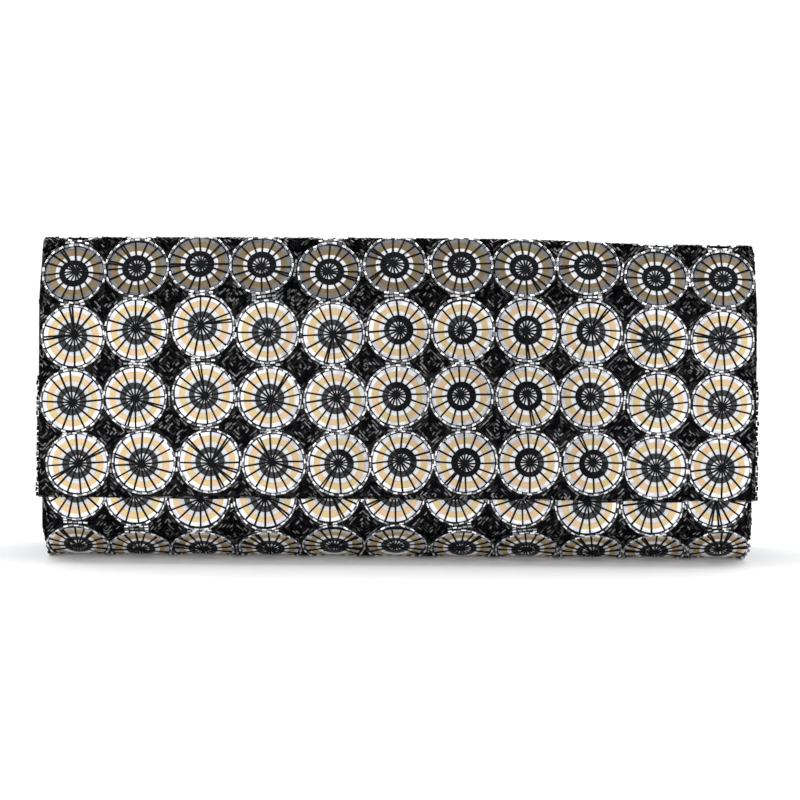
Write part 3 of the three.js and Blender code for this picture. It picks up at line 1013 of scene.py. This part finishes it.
def thread_tubes(discs, knot):
    """Sixteen threads or a few more over each medallion, from its knot to its rim."""
    count = len(discs)
    angle = 2 * np.pi * np.arange(THREADS) / THREADS + random.uniform(-0.05, 0.05, (count, THREADS))
    angle += random.uniform(0, 0.12, (count, 1))
    doubled = (random.random((count, THREADS)) < THREADS_DOUBLED).ravel()
    disc = np.repeat(np.arange(count), THREADS)
    turn = np.concatenate([angle.ravel(), angle.ravel()[doubled] + DOUBLE_ANGLE])
    disc = np.concatenate([disc, disc[doubled]])
    x, s, lean_x, lean_s, bends = discs[disc].T
    points = []
    for share, height, _ in THREAD_STATIONS:
        dx = knot[disc, 0] * (1 - share) + THREAD_END * np.cos(turn) * share
        ds = knot[disc, 1] * (1 - share) + THREAD_END * np.sin(turn) * share
        points.append(place_flat(x + dx, s + ds, domed(height, lean_x, lean_s, dx, ds), s, bends))
    thick = THREAD_RADIUS * random.uniform(0.9, 1.15, (len(disc), 1))
    thinned = np.array([thickness for _, _, thickness in THREAD_STATIONS])
    points = np.stack(points, axis=1)
    return tubes(points, out_of_cloth(x, s), thick * thinned, THREAD_SIDES, THREAD_FLATNESS)


def knot_heads(discs, knot):
    """A small uneven knot where the threads of each medallion meet."""
    around = 2 * np.pi * np.arange(KNOT_SIDES) / KNOT_SIDES
    turned = np.arange(len(discs))[:, None] // THREADS
    rings = []
    for radius, height in KNOT_RINGS:
        uneven = radius * (1 + 0.12 * np.sin(3 * around + turned))
        dx, ds = knot[:, :1] + uneven * np.cos(around), knot[:, 1:] + uneven * np.sin(around)
        rings.append(place(discs[:, :1] + dx, discs[:, 1:2] + ds, height))
    vertices = np.stack(rings, axis=1).reshape(-1, 3)
    walls = rings_of(len(discs), len(KNOT_RINGS), KNOT_SIDES)
    return vertices, walls, caps_of(len(discs), len(KNOT_RINGS), KNOT_SIDES)


def threads(name, discs):
    """The black threads over each medallion and the knot near its middle that they start from."""
    knot = random.uniform(-KNOT_OFF, KNOT_OFF, (len(discs), 2))
    vertices, walls, caps = thread_tubes(discs, knot)
    knots, knot_walls, knot_caps = knot_heads(discs, knot)
    groups = [
        (walls, True, 0),
        (caps, False, 0),
        (knot_walls + len(vertices), True, 0),
        (knot_caps + len(vertices), True, 0),
    ]
    piece(name, np.concatenate([vertices, knots]), groups, [thread_black])


# Embroidery


def embroider(field, rows, node, start, stop, half, tilt, extra):
    """All the sequins, beads and threads of one stretch of cloth; extra holds its lines of edge bugles."""
    discs = all_discs(rows, tilt)
    stack(field, discs, node)
    silver_ring = ring_beads(discs)
    bridges = apart_from(bridge_beads(rows, discs), silver_ring, 2 * BEAD_RADIUS * 0.95)
    bugles(
        f"{field}_silver_beads",
        np.vstack([silver_ring, jittered(bridges, spread=0.1, turn=0.08)]),
        radius=BEAD_RADIUS,
        height=BED + BEAD_RADIUS,
        lift_spread=0.12,
        sides=BEAD_SIDES,
        materials=[silver_glass, bead_hole_shade],
    )
    bed = clear_of(bed_beads(rows, start, stop, half), discs, CLEAR_OF_RING)
    bed = apart_from(bed, bridges, BED_APART)
    edges = clear_of(np.vstack(extra), discs, CLEAR_OF_RING - EDGE_OVER)
    left_in = random.random(len(bed)) > BUGLES_MISSING
    bugles(
        f"{field}_black_bugles",
        jittered(np.vstack([bed[left_in], edges])),
        radius=BUGLE_RADIUS,
        height=BUGLE_RADIUS * 0.9,
        lift_spread=0.3,
        sides=BUGLE_SIDES,
        materials=[black_glass, bead_hole_shade],
    )
    threads(f"{field}_threads", discs)


embroider(
    "flap",
    flap_rows,
    "flap_medallions",
    start=0.0,
    stop=seam,
    half=FLAP_HALF,
    tilt=TILT,
    extra=[edging(0.0, seam, FLAP_HALF), hem_beads(0.45, FLAP_HALF), hem_beads(seam - 0.5, FLAP_HALF)],
)
embroider(
    "back",
    back_rows,
    "back_medallions",
    start=pocket_top,
    stop=base_middle,
    half=POCKET_HALF,
    tilt=TILT / 2,
    extra=[edging(pocket_top, base_middle, POCKET_HALF), hem_beads(pocket_top + 0.5, POCKET_HALF)],
)
embroider(
    "front",
    front_rows,
    "front_medallions",
    start=base_middle,
    stop=front_rows[1]["s"].mean() + 17.0,
    half=POCKET_HALF,
    tilt=TILT / 2,
    extra=[edging(base_middle, cloth.run[-1], POCKET_HALF)],
)

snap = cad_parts["magnetic_snap"]
for slot_of in snap.material_slots:
    slot_of.material = brushed_steel
if not snap.material_slots:
    snap.data.materials.append(brushed_steel)


# Studio

FLOOR_SIZE = 1.9
FLOOR_DROP = 0.0002
FLOOR_GLOW = 0.06
BACKDROP = 1.15  # how bright the world looks to the camera
FILL_LOW = 0.29  # how bright it shines on the bag from near the horizon
FILL_HIGH = 0.2  # and from high up
FADE_START = 0.35  # the sine of the height angle at which the fill starts to fade
FADE_STOP = 0.75

# Name, place, the point aimed at, width and depth, and brightness
SOFT_PANELS = [
    ("front_panel", (0, -1.25, 0.28), (0, 0, 0.07), (2.2, 0.75), 1.25),
    ("top_panel", (0, 0.35, 1.5), (0, 0.35, 0), (4.4, 1.3), 2.95),
    ("left_panel", (-1.2, -0.75, 1.2), (0, 0, 0.05), (0.8, 0.8), 2.6),
    ("right_panel", (1.2, -0.75, 1.2), (0, 0, 0.05), (0.8, 0.8), 2.6),
]


def world_light():
    """A plain white backdrop for the camera, and a dimmer, cooler fill for everything else."""
    world = bpy.data.worlds.new("studio")
    bpy.context.scene.world = world
    world.use_nodes = True
    nodes, links = world.node_tree.nodes, world.node_tree.links
    nodes.clear()
    seen = nodes.new("ShaderNodeBackground")
    seen.inputs["Color"].default_value = (1, 1, 1, 1)
    seen.inputs["Strength"].default_value = BACKDROP
    fill = nodes.new("ShaderNodeBackground")
    fill.inputs["Color"].default_value = (0.93, 0.96, 1, 1)
    where = nodes.new("ShaderNodeTexCoord")
    split = nodes.new("ShaderNodeSeparateXYZ")
    fade = nodes.new("ShaderNodeMapRange")
    fade.inputs["From Min"].default_value = FADE_START
    fade.inputs["From Max"].default_value = FADE_STOP
    fade.inputs["To Min"].default_value = FILL_LOW
    fade.inputs["To Max"].default_value = FILL_HIGH
    mix = nodes.new("ShaderNodeMixShader")
    ray = nodes.new("ShaderNodeLightPath")
    out = nodes.new("ShaderNodeOutputWorld")
    links.new(where.outputs["Generated"], split.inputs["Vector"])
    links.new(split.outputs["Z"], fade.inputs["Value"])
    links.new(fade.outputs["Result"], fill.inputs["Strength"])
    links.new(ray.outputs["Is Camera Ray"], mix.inputs["Fac"])
    links.new(fill.outputs["Background"], mix.inputs[1])
    links.new(seen.outputs["Background"], mix.inputs[2])
    links.new(mix.outputs["Shader"], out.inputs["Surface"])


def pale_paper():
    """Matt white studio paper, with a faint glow that keeps the bag's shadow light."""
    material = new_material("pale_floor", (0.9, 0.9, 0.9), roughness=0.6)
    fibres = noise(material, object_place(material), scale=400.0, detail=3.0)
    tinted(material, fibres, "Fac", [(0.3, (0.925, 0.925, 0.93)), (0.7, (0.94, 0.94, 0.94))])
    shader_of(material).inputs["Emission Color"].default_value = (0.95, 0.97, 1, 1)
    shader_of(material).inputs["Emission Strength"].default_value = FLOOR_GLOW
    return material


def stage_plate(name, corners_at, place_at, material):
    """A flat four-cornered piece of the studio."""
    mesh = bpy.data.meshes.new(name)
    mesh.from_pydata(corners_at, [], [(0, 1, 2, 3)])
    mesh.materials.append(material)
    plate = bpy.data.objects.new(name, mesh)
    plate.location = place_at
    bpy.context.scene.collection.objects.link(plate)


def floor():
    half = FLOOR_SIZE / 2
    corners_at = [(-half, -half, 0), (half, -half, 0), (half, half, 0), (-half, half, 0)]
    stage_plate("floor", corners_at, (0, 0, -FLOOR_DROP), pale_paper())


CAMERA_ELEVATION = math.radians(6.5)
CAMERA_DISTANCE = 0.95
CAMERA_ROLL = math.radians(0.37)
AIM = Vector((0.0, 0.0, 0.0665))
FRAME_PIXELS = 800  # the photograph's width
AIM_COLUMN = 397.5  # the pixel column that the aim lies on
PIXELS_PER_METRE = 2336.0  # at the aim's distance
SENSOR = 36.0


def camera():
    data = bpy.data.cameras.new("camera")
    data.sensor_width = SENSOR
    data.lens = SENSOR * PIXELS_PER_METRE * CAMERA_DISTANCE / FRAME_PIXELS
    data.shift_x = (FRAME_PIXELS / 2 - AIM_COLUMN) / FRAME_PIXELS
    obj = bpy.data.objects.new("camera", data)
    back = Vector((0, -math.cos(CAMERA_ELEVATION), math.sin(CAMERA_ELEVATION)))
    obj.location = AIM + back * CAMERA_DISTANCE
    level = (-back).to_track_quat("-Z", "Y")
    obj.rotation_mode = "QUATERNION"
    obj.rotation_quaternion = level @ Euler((0, 0, CAMERA_ROLL)).to_quaternion()
    bpy.context.scene.collection.objects.link(obj)
    bpy.context.scene.camera = obj


def dark_card():
    """A small grey card beside the camera, which the middle sequins mirror."""
    width, height = 0.12, 0.15
    corners_at = [(-width, 0, -height), (width, 0, -height), (width, 0, height), (-width, 0, height)]
    grey = new_material("card_grey", (0.05, 0.05, 0.05), roughness=0.8)
    stage_plate("lens_card", corners_at, (0.085, -1.05, 0.19), grey)


def area_light(name, place_at, aim, size, radiance):
    """A soft panel that shines at a point, set by how bright it looks."""
    data = bpy.data.lights.new(name, "AREA")
    data.shape = "RECTANGLE"
    data.size, data.size_y = size
    data.energy = radiance * math.pi * size[0] * size[1]
    lamp = bpy.data.objects.new(name, data)
    lamp.location = place_at
    lamp.rotation_euler = (Vector(place_at) - Vector(aim)).to_track_quat("Z", "Y").to_euler()
    lamp.visible_camera = False
    bpy.context.scene.collection.objects.link(lamp)


world_light()
floor()
camera()
dark_card()
for soft_panel in SOFT_PANELS:
    area_light(*soft_panel)
bpy.context.scene.view_settings.view_transform = "Standard"
bpy.context.scene.view_settings.look = "None"
